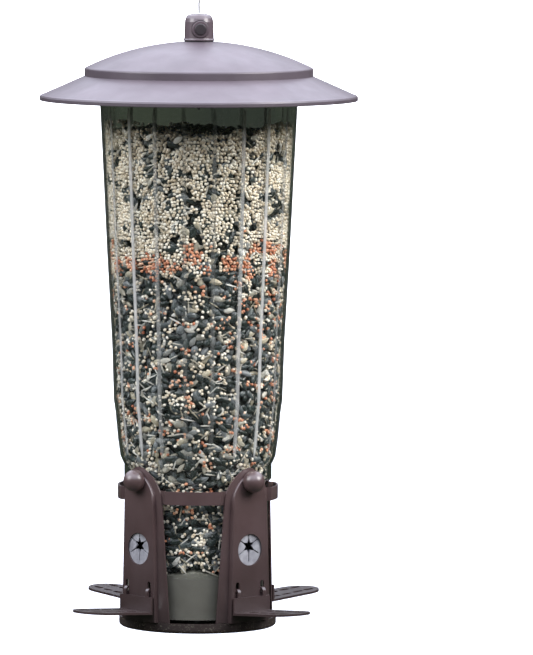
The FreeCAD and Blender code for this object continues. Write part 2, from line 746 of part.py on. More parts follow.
def cap_knob():
    """A rounded knob with a cable bore, the button's cross bore and a threaded spigot."""
    foot = KNOB_LOW + 0.9
    outline = [
        (0, 402.0), (KNOB_SPIGOT_R, 402.0), (KNOB_SPIGOT_R, foot), (10.6, foot),
        (10.9, foot + 0.4), (10.9, foot + 0.9), (10.5, foot + 1.3), (10.35, foot + 1.7),
        (10.0, KNOB_TOP - 5.4), (9.4, KNOB_TOP - 2.9), (8.4, KNOB_TOP - 1.2), (7.0, KNOB_TOP - 0.3),
        (5.4, KNOB_TOP), (0, KNOB_TOP),
    ]
    knob = revolved(outline)
    knob = knob.cut(rod(CABLE_R + 0.6, 390, 440))
    knob = knob.cut(rod(GROMMET_R + 0.03, GROMMET_LOW - 0.1, 440))
    knob = knob.cut(across(BUTTON_R + FIT, BUTTON_BLIND, 20))
    knob = knob.cut(across(BEZEL_R, BEZEL_BACK, 20))
    return knob.cut(across(BEZEL_R + BEZEL_GROOVE, BEZEL_FACE - 2.6, 20))


def button_bezel():
    """A raised ring round the button, in a groove of the knob."""
    bezel = across(BEZEL_R, BEZEL_BACK, BEZEL_FACE)
    bezel = bezel.makeFillet(0.45, face_rim(bezel, BEZEL_FACE))
    return bezel.cut(across(BUTTON_R + FIT, 0, 20))


def lock_button():
    """A plunger with a cross slot that grips the cable until it is pressed."""
    plunger = across(BUTTON_R, BUTTON_BACK, BUTTON_FACE)
    plunger = plunger.makeFillet(0.8, face_rim(plunger, BUTTON_FACE))
    half = CABLE_R + 0.12
    far = BUTTON_PRESS + 0.6
    low = BUTTON_Z - 10
    high = BUTTON_Z + 10
    slot = box(0, far, -half, half, low, high)
    slot = slot.fuse([rod(half, low, high), rod(half, low, high, far)])
    return plunger.cut(turned(slot, BUTTON_TURN))


def button_spring():
    low = BUTTON_BLIND + BUTTON_WIRE_R + 0.05
    high = BUTTON_BACK - BUTTON_WIRE_R - 0.05
    spring = coil(2.4, BUTTON_WIRE_R, high - low, 3)
    spring.rotate(Vec(0, 0, 0), Vec(0, 1, 0), 90)
    spring.translate(Vec(low, 0, BUTTON_Z))
    return turned(spring, BUTTON_TURN)


def knob_gasket():
    inner, outer = KNOB_SPIGOT_R + 0.05, 10.2
    low, high = KNOB_LOW - 0.35, KNOB_LOW + 0.9
    gasket = revolved([(inner, low), (outer, low), (outer, high), (inner, high)])
    return gasket.cut(dome_section(DOME_R, DOME_TOP, DOME_SHOULDER, DOME_LOW))


def knob_nut():
    return hex_nut(9.0, KNOB_SPIGOT_R, 404.2, 409.2)


def cable_grommet():
    """The flanged bush the cap slides and turns on."""
    bore = CABLE_R + FIT
    flange = KNOB_TOP + 0.1
    return revolved([
        (bore, GROMMET_LOW), (GROMMET_R - 0.05, GROMMET_LOW), (GROMMET_R - 0.05, flange),
        (3.4, flange), (3.4, flange + 0.4), (2.6, flange + 0.8), (bore, flange + 0.8),
    ])


def build():
    os.makedirs("parts", exist_ok=True)
    single = [
        reservoir_tube, seed_baffle, spring_tower, reservoir_floor, floor_screws, main_spring,
        hanger_bar, bar_screws, cable_stop, hanger_cable, cable_ferrule, cable_loop, base_tray,
        band_rivets, foot_rivets, spring_rod, base_screw, spring_washer, rod_nut, cap_brim,
        cap_dome, cap_liner, cap_rivets, cap_knob, button_bezel, lock_button, button_spring,
        knob_gasket, knob_nut, cable_grommet,
    ]
    for make in single:
        save(make.__name__, make())
    for make in (pillar, ball_knob, neck_glide, port_housing, flex_port, perch):
        shape = make()
        for side, angle in SIDES.items():
            save(make.__name__ + "_" + side, turned(shape, angle))
    span = band_span()
    for k, side in enumerate(("front_right", "rear_right", "rear_left", "front_left")):
        save("band_" + side, turned(span, 90 * k - 90))


build()
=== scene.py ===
import json
import math

import bpy
import numpy as np
from mathutils import Matrix, Vector, noise


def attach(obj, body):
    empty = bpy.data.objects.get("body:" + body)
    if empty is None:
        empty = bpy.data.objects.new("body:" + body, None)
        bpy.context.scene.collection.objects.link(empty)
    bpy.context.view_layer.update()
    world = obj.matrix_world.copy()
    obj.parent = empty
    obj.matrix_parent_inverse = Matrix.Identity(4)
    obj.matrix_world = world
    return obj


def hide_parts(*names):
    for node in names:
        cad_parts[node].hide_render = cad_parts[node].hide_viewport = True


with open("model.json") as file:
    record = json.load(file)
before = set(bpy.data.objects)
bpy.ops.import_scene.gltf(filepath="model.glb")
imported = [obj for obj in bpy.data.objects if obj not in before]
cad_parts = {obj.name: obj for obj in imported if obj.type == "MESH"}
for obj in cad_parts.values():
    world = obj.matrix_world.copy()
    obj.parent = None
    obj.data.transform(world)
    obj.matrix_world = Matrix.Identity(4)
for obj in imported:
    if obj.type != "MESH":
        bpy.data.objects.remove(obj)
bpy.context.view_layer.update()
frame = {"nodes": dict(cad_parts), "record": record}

MM = 0.001

# reservoir: outer radius and height, top to bottom, in millimetres
TUBE_OUTSIDE = [
    (69.4, 379.0), (69.4, 369.0), (68.9, 361.0), (64.1, 262.0), (60.6, 200.0),
    (59.3, 159.0), (57.8, 149.0), (56.2, 131.8), (54.6, 120.0), (52.9, 116.0),
    (51.8, 114.0), (51.8, 104.0), (49.6, 101.8), (49.6, 38.0),
]
TUBE_WALL = 2.0
NECK_MIDDLE = 52.0
RIBS = 20
RIB_TURN = 4.0
RIB_LOW = 122.0
RIB_HIGH = 366.0
RIB_FADE = 6.0
PORT_Z = 60.0
SLEEVE_R = 11.5
SLEEVE_CLEAR_R = 14.5
SIDES = (-90, 0, 90, 180)

# seed fill
SEED_TOP = 352.0
SEED_LOW = 40.0
RED_LOW = 247.0
RED_MIDDLE = 258.0
MILLET_SPLIT = 300
ROW_NESTING = 0.89
CORE_TOP = 344.0
CORE_DEPTH = 5.5
ROOF_TOP = 52.5
ROOF_SLOPE = 0.3

# radii that turn millimetres along the wall into angles
NECK_ARC_R = 48
LOOSE_ARC_R = 50
PACKED_ARC_R = 62

# seed sizes: length, width, thickness
SUNFLOWER = (9.8, 5.0, 3.0)
STALK = (9.0, 1.0, 0.5)
SPLIT_SHELL = (9.0, 3.6, 1.2)
WHITE_MILLET = (2.4, 2.3, 2.2)
RED_MILLET = (2.6, 2.4, 2.3)
PACKED_MILLET = (2.4, 2.35, 2.3)

# hanging cable, the route of part.py
CABLE_ROUTE = [(0, 0, 363), (0, 0, 393), (0, 0, 423), (0, 0, 453), (0, 0, 484)]
CABLE_R = 0.75

rng = np.random.default_rng(7)


# ---------------------------------------------------------------- mesh helpers

def mesh_object(name, verts, faces):
    """A smooth-shaded object from vertices in millimetres and face index tuples."""
    mesh = bpy.data.meshes.new(name)
    mesh.from_pydata([tuple(c * MM for c in v) for v in verts], [], faces)
    mesh.update()
    mesh.polygons.foreach_set("use_smooth", [True] * len(mesh.polygons))
    obj = bpy.data.objects.new(name, mesh)
    bpy.context.scene.collection.objects.link(obj)
    return obj


def lathe(name, rings, steps):
    """A closed skin of rings about Z, from outline points (radius, height)."""
    verts = []
    for r, z in rings:
        for k in range(steps):
            a = 2 * math.pi * k / steps
            verts.append((r * math.cos(a), r * math.sin(a), z))
    faces = []
    count = len(rings)
    for i in range(count):
        j = (i + 1) % count
        for k in range(steps):
            m = (k + 1) % steps
            faces.append((i * steps + k, j * steps + k, j * steps + m, i * steps + m))
    return mesh_object(name, verts, faces)


def repeated(name, base_verts, base_tris, base_uv, places, turns, sizes, tones):
    """One mesh of many copies of a small form, each with its own place, turn, size and tone."""
    count, nv = len(places), len(base_verts)
    scaled = base_verts[None, :, :] * sizes[:, None, :]
    verts = np.einsum("nij,nvj->nvi", turns, scaled) + places[:, None, :]
    tris = (base_tris[None, :, :] + (np.arange(count) * nv)[:, None, None]).reshape(-1, 3)
    mesh = bpy.data.meshes.new(name)
    mesh.vertices.add(count * nv)
    mesh.vertices.foreach_set("co", (verts * MM).astype(np.float32).ravel())
    mesh.loops.add(len(tris) * 3)
    mesh.loops.foreach_set("vertex_index", tris.astype(np.int32).ravel())
    mesh.polygons.add(len(tris))
    mesh.polygons.foreach_set("loop_start", np.arange(0, len(tris) * 3, 3, dtype=np.int32))
    mesh.polygons.foreach_set("loop_total", np.full(len(tris), 3, np.int32))
    mesh.polygons.foreach_set("use_smooth", np.ones(len(tris), bool))
    mesh.update(calc_edges=True)
    layer = mesh.uv_layers.new(name="form")
    uv = np.tile(base_uv[base_tris.ravel()], (count, 1)).astype(np.float32)
    layer.data.foreach_set("uv", uv.ravel())
    tone = mesh.attributes.new("tone", "FLOAT", "POINT")
    tone.data.foreach_set("value", np.repeat(tones, nv).astype(np.float32))
    obj = bpy.data.objects.new(name, mesh)
    bpy.context.scene.collection.objects.link(obj)
    return obj


def interpolate(table, z):
    """The first value of a table of (value, height) pairs, highest first, at a height."""
    heights = [h for v, h in table][::-1]
    values = [v for v, h in table][::-1]
    return float(np.interp(z, heights, values))


# ---------------------------------------------------------------- materials

def material(name):
    mat = bpy.data.materials.new(name)
    mat.use_nodes = True
    nodes = mat.node_tree.nodes
    return mat, nodes, mat.node_tree.links, nodes["Principled BSDF"]


def noise_node(nodes, links, scale, detail, vector=None):
    tex = nodes.new("ShaderNodeTexNoise")
    tex.inputs["Scale"].default_value = scale
    tex.inputs["Detail"].default_value = detail
    if vector is not None:
        links.new(vector, tex.inputs["Vector"])
    return tex.outputs["Fac"]


def ramp(nodes, links, value, stops):
    node = nodes.new("ShaderNodeValToRGB")
    first, last = node.color_ramp.elements[0], node.color_ramp.elements[1]
    first.position, first.color = stops[0][0], (*stops[0][1], 1)
    last.position, last.color = stops[-1][0], (*stops[-1][1], 1)
    for position, color in stops[1:-1]:
        node.color_ramp.elements.new(position).color = (*color, 1)
    links.new(value, node.inputs["Fac"])
    return node.outputs["Color"]


def math_node(nodes, links, kind, a, b=None):
    """A maths node; each input is a socket or a number, and an input not given keeps the node's own 0.5."""
    node = nodes.new("ShaderNodeMath")
    node.operation = kind
    for socket, value in zip(node.inputs, (a, b)):
        if value is None:
            continue
        if isinstance(value, (int, float)):
            socket.default_value = value
        else:
            links.new(value, socket)
    return node.outputs[0]


def bump(nodes, links, height, strength, distance, shader):
    node = nodes.new("ShaderNodeBump")
    node.inputs["Strength"].default_value = strength
    node.inputs["Distance"].default_value = distance
    links.new(height, node.inputs["Height"])
    links.new(node.outputs["Normal"], shader.inputs["Normal"])


def object_coords(nodes):
    return nodes.new("ShaderNodeTexCoord").outputs["Object"]


def split_axes(nodes, links, vector):
    axes = nodes.new("ShaderNodeSeparateXYZ")
    links.new(vector, axes.inputs[0])
    return axes.outputs


def mixed(nodes, links, factor, first, second):
    """Colour mix; each side is a socket or a plain colour."""
    mix = nodes.new("ShaderNodeMix")
    mix.data_type = "RGBA"
    links.new(factor, mix.inputs["Factor"])
    for socket, value in ((mix.inputs["A"], first), (mix.inputs["B"], second)):
        if isinstance(value, tuple):
            socket.default_value = (*value, 1)
        else:
            links.new(value, socket)
    return mix.outputs["Result"]


def paint(name, dark, light, rough, coat, coat_rough, speckle=None):
    """Powder coat: a mottled colour, darker towards the bottom with painted shade, a fine orange peel and
    uneven gloss.
    """
    mat, nodes, links, shader = material(name)
    coords = object_coords(nodes)
    color = ramp(nodes, links, noise_node(nodes, links, 35, 5, coords), [(0.3, dark), (0.72, light)])
    # Painted shade: the colour darkens towards the bottom, below about 100 mm, for the shade under the
    # perches and round the base.
    height = math_node(nodes, links, "MULTIPLY", split_axes(nodes, links, coords)["Z"], 8.0)
    painted_low_shade = ramp(nodes, links, height, [(0.05, (0.36,) * 3), (0.8, (1.0,) * 3)])
    low_shaded = nodes.new("ShaderNodeMix")
    low_shaded.data_type, low_shaded.blend_type = "RGBA", "MULTIPLY"
    low_shaded.inputs["Factor"].default_value = 1.0
    links.new(color, low_shaded.inputs["A"])
    links.new(painted_low_shade, low_shaded.inputs["B"])
    color = low_shaded.outputs["Result"]
    if speckle:
        spots = noise_node(nodes, links, 900, 2, coords)
        mask = ramp(nodes, links, spots, [(0.60, (0, 0, 0)), (0.66, (1, 1, 1))])
        color = mixed(nodes, links, mask, color, speckle)
    links.new(color, shader.inputs["Base Color"])
    dust = ramp(nodes, links, noise_node(nodes, links, 60, 6, coords),
                [(0.3, (rough - 0.05,) * 3), (0.75, (rough + 0.1,) * 3)])
    links.new(dust, shader.inputs["Roughness"])
    shader.inputs["Coat Weight"].default_value = coat
    shader.inputs["Coat Roughness"].default_value = coat_rough
    bump(nodes, links, noise_node(nodes, links, 1400, 2, coords), 0.12, 0.0001, shader)
    return mat


def plastic(name, dark, light, rough):
    mat, nodes, links, shader = material(name)
    coords = object_coords(nodes)
    color = ramp(nodes, links, noise_node(nodes, links, 50, 6, coords), [(0.3, dark), (0.7, light)])
    links.new(color, shader.inputs["Base Color"])
    shade = ramp(nodes, links, noise_node(nodes, links, 120, 4, coords),
                 [(0.3, (rough,) * 3), (0.7, (rough + 0.12,) * 3)])
    links.new(shade, shader.inputs["Roughness"])
    bump(nodes, links, noise_node(nodes, links, 2200, 2, coords), 0.15, 0.00005, shader)
    return mat


def metal(name, dark, light, rough):
    mat, nodes, links, shader = material(name)
    coords = object_coords(nodes)
    shader.inputs["Metallic"].default_value = 1.0
    color = ramp(nodes, links, noise_node(nodes, links, 160, 5, coords), [(0.3, dark), (0.7, light)])
    links.new(color, shader.inputs["Base Color"])
    shade = ramp(nodes, links, noise_node(nodes, links, 300, 5, coords),
                 [(0.3, (rough,) * 3), (0.7, (rough + 0.15,) * 3)])
    links.new(shade, shader.inputs["Roughness"])
    return mat


def cable_metal():
    """Galvanised strands laid in a helix round the cable's own axis."""
    mat, nodes, links, shader = material("cable_strands")
    strand_count, lay_length = 6, 0.012
    axes = split_axes(nodes, links, object_coords(nodes))
    angle = math_node(nodes, links, "ARCTAN2", axes["Y"], axes["X"])
    strands = math_node(nodes, links, "MULTIPLY", angle, strand_count)
    lay = math_node(nodes, links, "MULTIPLY", axes["Z"], strand_count * 2 * math.pi / lay_length)
    wave = math_node(nodes, links, "SINE", math_node(nodes, links, "ADD", strands, lay))
    color = ramp(nodes, links, math_node(nodes, links, "MULTIPLY_ADD", wave, 0.5),
                 [(0.0, (0.16, 0.16, 0.17)), (0.5, (0.62, 0.62, 0.63)), (1.0, (0.8, 0.8, 0.8))])
    links.new(color, shader.inputs["Base Color"])
    shader.inputs["Metallic"].default_value = 0.8
    shader.inputs["Roughness"].default_value = 0.35
    bump(nodes, links, wave, 0.6, 0.0002, shader)
    return mat


def let_light_through(nodes, links, shader, tint):
    """Light passes a clear wall without the noise of caustics."""
    path = nodes.new("ShaderNodeLightPath")
    clear = nodes.new("ShaderNodeBsdfTransparent")
    clear.inputs["Color"].default_value = (*tint, 1)
    mix = nodes.new("ShaderNodeMixShader")
    links.new(path.outputs["Is Shadow Ray"], mix.inputs["Fac"])
    links.new(shader.outputs[0], mix.inputs[1])
    links.new(clear.outputs[0], mix.inputs[2])
    links.new(mix.outputs[0], nodes["Material Output"].inputs["Surface"])


def frosted_rib_painted_light():
    """Frosted ribs with painted light: pale, more opaque lines beside the pillars and dark, faint ones in the
    windows between them, set by angle round the tube.
    """
    mat, nodes, links, shader = material("frosted_rib_painted_light")
    coords = object_coords(nodes)
    axes = split_axes(nodes, links, coords)
    # Painted light: all ribs are alike, but colour and opacity follow the angle round the tube, pale where
    # light comes through beside the pillars, dark in front of the shaded seed in the windows.
    angle = math_node(nodes, links, "ARCTAN2", axes["Y"], axes["X"])
    wave = math_node(nodes, links, "COSINE", math_node(nodes, links, "MULTIPLY", angle, 2.0))
    strength = math_node(nodes, links, "POWER", math_node(nodes, links, "ABSOLUTE", wave), 3.0)
    fleck = noise_node(nodes, links, 30, 4, coords)
    pale = ramp(nodes, links, fleck, [(0.3, (0.58, 0.60, 0.56)), (0.7, (0.80, 0.77, 0.73))])
    dark = ramp(nodes, links, fleck, [(0.3, (0.10, 0.11, 0.10)), (0.7, (0.22, 0.23, 0.21))])
    links.new(mixed(nodes, links, strength, dark, pale), shader.inputs["Base Color"])
    alpha = math_node(nodes, links, "ADD", math_node(nodes, links, "MULTIPLY", strength, 0.36), 0.16)
    links.new(alpha, shader.inputs["Alpha"])
    shader.inputs["Roughness"].default_value = 0.25
    return mat


def clear_plastic():
    """Clear moulded plastic, faintly green and a little rippled."""
    mat, nodes, links, shader = material("clear_fluted_plastic")
    coords = object_coords(nodes)
    haze = ramp(nodes, links, noise_node(nodes, links, 45, 4, coords),
                [(0.35, (0.02,) * 3), (0.8, (0.07,) * 3)])
    links.new(haze, shader.inputs["Roughness"])
    tint = ramp(nodes, links, noise_node(nodes, links, 14, 3, coords),
                [(0.3, (0.93, 0.955, 0.94)), (0.7, (0.975, 0.985, 0.975))])
    links.new(tint, shader.inputs["Base Color"])
    shader.inputs["IOR"].default_value = 1.46
    shader.inputs["Transmission Weight"].default_value = 1.0
    bump(nodes, links, noise_node(nodes, links, 40, 2, coords), 0.05, 0.0004, shader)
    let_light_through(nodes, links, shader, (0.95, 0.96, 0.95))
    return mat


def port_rubber():
    """Milky rubber that lets a little light in."""
    mat, nodes, links, shader = material("port_rubber_petals")
    coords = object_coords(nodes)
    color = ramp(nodes, links, noise_node(nodes, links, 130, 4, coords),
                 [(0.3, (0.20, 0.20, 0.22)), (0.7, (0.42, 0.42, 0.44))])
    links.new(color, shader.inputs["Base Color"])
    shader.inputs["Roughness"].default_value = 0.42
    shader.inputs["Subsurface Weight"].default_value = 0.25
    shader.inputs["Subsurface Radius"].default_value = (0.002, 0.002, 0.002)
    bump(nodes, links, noise_node(nodes, links, 500, 3, coords), 0.25, 0.0003, shader)
    return mat


def tone_value(nodes):
    node = nodes.new("ShaderNodeAttribute")
    node.attribute_name = "tone"
    return node.outputs["Fac"]


def sunflower_shell():
    """Green-black to slate husks, each with its own tone, pale along the edge and finely streaked."""
    mat, nodes, links, shader = material("sunflower_husk")
    form = nodes.new("ShaderNodeUVMap")
    form.uv_map = "form"
    nearness = split_axes(nodes, links, form.outputs[0])["X"]
    tone = tone_value(nodes)
    body = ramp(nodes, links, tone, [(0.0, (0.010, 0.014, 0.012)), (0.5, (0.022, 0.030, 0.027)),
                                     (0.72, (0.060, 0.070, 0.072)), (0.88, (0.15, 0.16, 0.165)),
                                     (0.95, (0.26, 0.24, 0.19)), (1.0, (0.42, 0.36, 0.25))])
    wander = noise_node(nodes, links, 600, 3, object_coords(nodes))
    edge = math_node(nodes, links, "MULTIPLY", math_node(nodes, links, "POWER", nearness, 5), wander)
    edge = ramp(nodes, links, edge, [(0.34, (0, 0, 0)), (0.60, (0.75, 0.75, 0.75))])
    streak = math_node(nodes, links, "SINE", math_node(nodes, links, "MULTIPLY", nearness, 26))
    streak = math_node(nodes, links, "MULTIPLY", streak, math_node(nodes, links, "MULTIPLY", tone, wander))
    streak = ramp(nodes, links, streak, [(0.30, (0, 0, 0)), (0.55, (0.5, 0.5, 0.5))])
    color = mixed(nodes, links, streak, body, (0.30, 0.31, 0.29))
    color = mixed(nodes, links, edge, color, (0.55, 0.54, 0.48))
    links.new(color, shader.inputs["Base Color"])
    shader.inputs["Roughness"].default_value = 0.34
    bump(nodes, links, wander, 0.4, 0.0003, shader)
    return mat


def dry_husk():
    """Pale straw, split shells and stalks."""
    mat, nodes, links, shader = material("dry_straw")
    wander = noise_node(nodes, links, 500, 4, object_coords(nodes))
    level = math_node(nodes, links, "ADD", math_node(nodes, links, "MULTIPLY", tone_value(nodes), 0.7),
                      math_node(nodes, links, "MULTIPLY", wander, 0.4))
    color = ramp(nodes, links, level,
                 [(0.2, (0.20, 0.17, 0.11)), (0.6, (0.42, 0.39, 0.33)), (1.0, (0.72, 0.70, 0.66))])
    links.new(color, shader.inputs["Base Color"])
    shader.inputs["Roughness"].default_value = 0.5
    bump(nodes, links, wander, 0.4, 0.0002, shader)
    return mat


def grain(name, stops):
    """Small round seed: every grain has its own tone between the stops."""
    mat, nodes, links, shader = material(name)
    mottle = math_node(nodes, links, "MULTIPLY", noise_node(nodes, links, 900, 2, object_coords(nodes)), 0.3)
    own = math_node(nodes, links, "MULTIPLY", tone_value(nodes), 0.85)
    level = math_node(nodes, links, "ADD", own, mottle)
    links.new(ramp(nodes, links, level, stops), shader.inputs["Base Color"])
    shader.inputs["Roughness"].default_value = 0.35
    return mat


def seed_shade():
    """Painted shade: near-black for the shadowed darkness between seeds, deep in the fill."""
    mat, nodes, links, shader = material("seed_painted_shade")
    color = ramp(nodes, links, noise_node(nodes, links, 260, 4, object_coords(nodes)),
                 [(0.35, (0.006, 0.008, 0.007)), (0.65, (0.03, 0.033, 0.028))])
    links.new(color, shader.inputs["Base Color"])
    shader.inputs["Roughness"].default_value = 0.8
    return mat


FINISHES = {
    "olive_plastic": plastic("olive_moulding", (0.078, 0.076, 0.060), (0.114, 0.111, 0.091), 0.42),
    "black_plastic": plastic("black_moulding", (0.012, 0.012, 0.013), (0.025, 0.025, 0.027), 0.45),
    "port_rubber": port_rubber(),
    "black_rubber": plastic("gasket_rubber", (0.01, 0.01, 0.01), (0.022, 0.022, 0.022), 0.65),
    "steel_cable": metal("cable_eye_steel", (0.45, 0.45, 0.46), (0.7, 0.7, 0.7), 0.3),
    "aluminium": metal("swaged_aluminium", (0.55, 0.55, 0.56), (0.75, 0.75, 0.76), 0.28),
    "white_nylon": plastic("natural_nylon", (0.52, 0.52, 0.54), (0.66, 0.66, 0.68), 0.35),
    "zinc_steel": metal("zinc_plated_steel", (0.42, 0.43, 0.45), (0.62, 0.63, 0.66), 0.3),
    "brown_plastic": paint("knob_brown", (0.086, 0.062, 0.070), (0.118, 0.088, 0.098), 0.35, 0.7, 0.22),
    "tray_paint": paint("tray_brown", (0.046, 0.027, 0.023), (0.066, 0.040, 0.034), 0.5, 0.08, 0.3,
                        speckle=(0.11, 0.10, 0.075)),
    "brown_paint": paint("brown_powder_coat", (0.072, 0.043, 0.041), (0.106, 0.067, 0.066), 0.36, 0.8, 0.24),
}
# Painted reflection: the cap is the same brown powder coat as the rest, but its colour is a lighter
# lilac-grey that stands in for the pale sky it mirrors.
CAP_PAINT_SKY_TINTED = paint("cap_powder_coat_sky_tinted", (0.080, 0.063, 0.074), (0.110, 0.088, 0.103), 0.42, 0.28, 0.3)
BUTTON_PAINT = paint("button_brown", (0.020, 0.015, 0.017), (0.040, 0.031, 0.034), 0.45, 0.2, 0.3)
SPECIAL_FINISHES = {"cap_brim": CAP_PAINT_SKY_TINTED, "cap_dome": CAP_PAINT_SKY_TINTED, "lock_button": BUTTON_PAINT}


def finish_cad_nodes():
    """Each CAD node gets its slot's finish, or one of its own."""
    for part in frame["record"]["subparts"]:
        node, slot = part["node"], part["material_slot"]
        if slot not in FINISHES:
            continue
        mesh = frame["nodes"][node].data
        mesh.materials.clear()
        mesh.materials.append(SPECIAL_FINISHES.get(node, FINISHES[slot]))


# ---------------------------------------------------------------- reservoir

def tube_rings():
    """Outline points (radius, height) round the wall, with crisp rims."""
    rims = {378.8, 378.0, 38.15, 38.6, 44.0, 76.0, 84.0, 92.0, 100.0}
    heights = sorted({z for r, z in TUBE_OUTSIDE} | rims | set(np.arange(128, 376, 8.0)), reverse=True)
    outside = [(interpolate(TUBE_OUTSIDE, z), z) for z in heights]
    inside = [(r - TUBE_WALL, z) for r, z in outside]
    return outside + inside[::-1]


def reservoir():
    """The clear tube, in place of the CAD's."""
    tube = lathe("clear_reservoir", tube_rings(), steps=240)
    drill_ports(tube)
    tube.data.materials.append(clear_plastic())
    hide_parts("reservoir_tube")
    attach(tube, "reservoir")


def reservoir_ribs():
    """Rounded ribs down the outside of the tube, tapering out at both ends."""
    gap, narrow = 0.03, 0.35
    section = [(-1.5, gap), (-1.3, 0.4), (-0.7, 0.68), (0, 0.76), (0.7, 0.68), (1.3, 0.4), (1.5, gap)]
    heights = [RIB_HIGH, 364, 360] + list(range(352, 130, -8)) + [130, 126, 124, RIB_LOW]
    verts, faces = [], []
    for k in range(RIBS):
        middle = math.radians(RIB_TURN + 360 / RIBS * k)
        start = len(verts)
        for z in heights:
            fade = min(1.0, (RIB_HIGH - z) / RIB_FADE, (z - RIB_LOW) / RIB_FADE)
            r = interpolate(TUBE_OUTSIDE, z)
            for t, lift in section:
                a = middle + t * (narrow + (1 - narrow) * fade) / r
                out = r + gap + (lift - gap) * fade
                verts.append((out * math.cos(a), out * math.sin(a), z))
        wide = len(section)
        for i in range(len(heights) - 1):
            for j in range(wide):
                n = (j + 1) % wide
                a, b = start + i * wide, start + (i + 1) * wide
                faces.append((a + j, b + j, b + n, a + n))
        last = start + (len(heights) - 1) * wide
        faces.append(tuple(start + j for j in range(wide)))
        faces.append(tuple(last + j for j in range(wide))[::-1])
    ribs = mesh_object("reservoir_ribs", verts, faces)
    ribs.data.materials.append(frosted_rib_painted_light())
    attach(ribs, "reservoir")


def drill_ports(tube):
    """Cuts the four sleeve holes through the neck."""
    for angle in SIDES:
        bpy.ops.mesh.primitive_cylinder_add(vertices=48, radius=SLEEVE_R * MM, depth=30 * MM)
        drill = bpy.context.object
        side = Matrix.Rotation(math.radians(angle), 4, "Z")
        centre = Matrix.Translation((NECK_MIDDLE * MM, 0, PORT_Z * MM))
        drill.matrix_world = side @ centre @ Matrix.Rotation(math.pi / 2, 4, "Y")
        cut = tube.modifiers.new("hole", "BOOLEAN")
        cut.operation = "DIFFERENCE"
        cut.object = drill
        bpy.context.view_layer.objects.active = tube
        bpy.ops.object.modifier_apply(modifier="hole")
        bpy.data.objects.remove(drill)


# ---------------------------------------------------------------- seed

def seed_form(rings, segments, profile):
    """A closed seed along X, one unit long, wide and thick; its UV says (nearness to an edge, way along)."""
    verts, uv = [(-0.5, 0, 0)], [(0, 0)]
    for i in range(1, rings + 1):
        u = i / (rings + 1)
        for k in range(segments):
            a = 2 * math.pi * k / segments
            r = profile(u) / 2
            verts.append((u - 0.5, r * math.cos(a), r * math.sin(a)))
            uv.append((0.5 + 0.5 * math.cos(2 * a), u))
    verts.append((0.5, 0, 0))
    uv.append((0, 1))
    tris = []
    last = len(verts) - 1
    for k in range(segments):
        m = (k + 1) % segments
        tris.append((0, 1 + m, 1 + k))
        tris.append((last, last - segments + k, last - segments + m))
        for i in range(rings - 1):
            a, b = 1 + i * segments + k, 1 + i * segments + m
            c, d = a + segments, b + segments
            tris += [(a, b, d), (a, d, c)]
    return np.array(verts, float), np.array(tris, int), np.array(uv, float)


def husk_profile(u):
    return math.sin(math.pi * u ** 0.8) ** 0.75


def ball_profile(u):
    return 2 * math.sqrt(max(u * (1 - u), 0.0))


def inner_radius(z):
    heights = [h for r, h in TUBE_OUTSIDE][::-1]
    radii = [r - TUBE_WALL for r, h in TUBE_OUTSIDE][::-1]
    return np.interp(z, heights, radii)


def near_port(theta, z):
    """True where a port's sleeve comes through the wall."""
    degrees = np.degrees(theta)
    inside = np.zeros(len(theta), bool)
    for angle in SIDES:
        away = (degrees - angle + 180) % 360 - 180
        inside |= np.hypot(np.radians(away) * NECK_ARC_R, z - PORT_Z) < SLEEVE_CLEAR_R
    return inside


def wall_places(count, low, high, near, deep):
    """Random places against the tube's inner face: angle, height and centre distance."""
    theta = rng.uniform(0, 2 * math.pi, count)
    z = rng.uniform(low, high, count)
    keep = ~near_port(theta, z)
    theta, z = theta[keep], z[keep]
    radius = inner_radius(z) - rng.uniform(near, deep, len(z))
    return theta, z, radius


def packed_places(low, high, pitch, near, deep):
    """Places in rows against the inner face, each shifted a little, for close-packed grains."""
    theta, z = [], []
    rise = pitch * ROW_NESTING
    jitter = pitch * 0.16
    for row in range(int((high - low) / rise)):
        height = low + row * rise
        count = int(2 * math.pi * (float(inner_radius(height)) - near) / pitch)
        theta.append((np.arange(count) + rng.uniform(0, 1)) * 2 * math.pi / count)
        z.append(np.full(count, height))
    theta, z = np.concatenate(theta), np.concatenate(z)
    theta += rng.normal(0, jitter, len(theta)) / PACKED_ARC_R + patchy(theta, z, 17, 40.0) * 0.05
    theta = (theta + math.pi) % (2 * math.pi) - math.pi
    z += rng.normal(0, jitter, len(z)) + patchy(theta, z, 15, 60.0) * 3.0
    keep = ~near_port(theta, z)
    theta, z = theta[keep], z[keep]
    return theta, z, inner_radius(z) - rng.uniform(near, deep, len(z))


def seed_turns(theta, tilt, lie):
    """Rotation matrices: flat side to the wall, long axis at a random lie in the wall's plane."""
    count = len(theta)
    outward = np.stack([np.cos(theta), np.sin(theta), np.zeros(count)], 1)
    outward += rng.normal(0, tilt, (count, 3))
    outward /= np.linalg.norm(outward, axis=1)[:, None]
    spin = rng.normal(0, lie, count)
    around = np.stack([-np.sin(theta), np.cos(theta), np.zeros(count)], 1)
    long_axis = around * np.cos(spin)[:, None] + np.array([0, 0, 1.0]) * np.sin(spin)[:, None]
    long_axis -= outward * (long_axis * outward).sum(1)[:, None]
    long_axis /= np.linalg.norm(long_axis, axis=1)[:, None]
    cross = np.cross(outward, long_axis)
    return np.stack([long_axis, cross, outward], 2)


def to_places(theta, z, radius):
    return np.stack([radius * np.cos(theta), radius * np.sin(theta), z], 1)


def surface_height(theta):
    """The fill's uneven top against the wall."""
    return SEED_TOP + 3.0 * np.sin(theta * 2 + 0.6) + 2.0 * np.sin(theta * 5 + 1.9)


